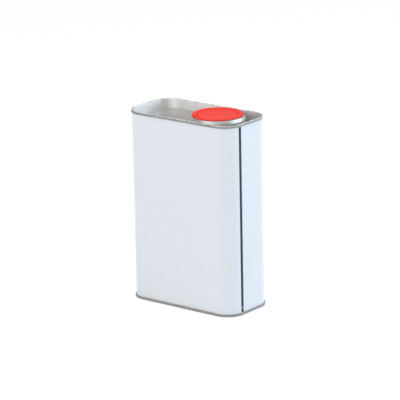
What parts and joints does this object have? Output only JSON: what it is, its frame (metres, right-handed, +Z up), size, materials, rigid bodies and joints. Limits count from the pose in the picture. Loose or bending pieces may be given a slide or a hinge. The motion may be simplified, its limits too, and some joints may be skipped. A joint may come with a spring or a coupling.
{
  "type": "oil tin with pull-up spout",
  "caption": "White rectangular tin with rounded corners and double-seamed ends, a recessed top, and a red pull-up pouring spout with a screw cap and folding pull bails.",
  "frame": {"origin": "middle of the base, on the surface that the tin stands on", "axes": "+Z up along the tin's height, +X to the tin's right, towards the spout, and -Y to its wide front face"},
  "size_m": [0.1194, 0.0606, 0.178],
  "materials": {
    "white_lacquer": "smooth white lacquer on tinplate, soft gloss",
    "tinplate": "bright pressed tinplate with a fine rolling grain",
    "bare_seam": "bare dark metal of the lapped side seam",
    "ring_metal": "bright rolled tinplate ring",
    "red_plastic": "moulded red polyethylene, satin",
    "spout_plastic": "natural white flexible polyethylene",
    "liner_foam": "white foamed sealing disc",
    "seam_compound": "cured sealing compound, hidden in the seam"
  },
  "bodies": {
    "tin": {"body_wall": "white_lacquer", "side_seam": "bare_seam", "top_end": "tinplate", "bottom_end": "tinplate", "top_seam_compound": "seam_compound", "bottom_seam_compound": "seam_compound", "crimp_ring": "ring_metal", "spout_flange": "spout_plastic", "spout_web": "spout_plastic"},
    "spout": {"spout_neck": "spout_plastic"},
    "seal": {"cap_liner": "liner_foam"},
    "screw_cap": {"cap": "red_plastic"},
    "rear_bail": {"bail_rear": "red_plastic"},
    "front_bail": {"bail_front": "red_plastic"}
  },
  "joints": [
    {"name": "spout_pull", "type": "slide", "parent": "tin", "child": "spout", "axis": [0, 0, 1], "range_m": [0, 0.0282], "deforming": ["spout_web"]},
    {"name": "cap_lift", "type": "slide", "parent": "spout", "child": "seal", "axis": [0, 0, 1], "range_m": [0, 0.06]},
    {"name": "cap_turn", "type": "hinge", "parent": "seal", "child": "screw_cap", "pos_m": [0.0242, 0, 0.17522], "axis": [0, 0, 1], "range_deg": [0, 720]},
    {"name": "rear_bail_lift", "type": "hinge", "parent": "screw_cap", "child": "rear_bail", "pos_m": [0.02255, 0.00095, 0.17709], "axis": [0.5, 0.866, 0], "range_deg": [0, 90]},
    {"name": "front_bail_lift", "type": "hinge", "parent": "screw_cap", "child": "front_bail", "pos_m": [0.02584, -0.00095, 0.17709], "axis": [-0.5, -0.866, 0], "range_deg": [0, 90]}
  ]
}
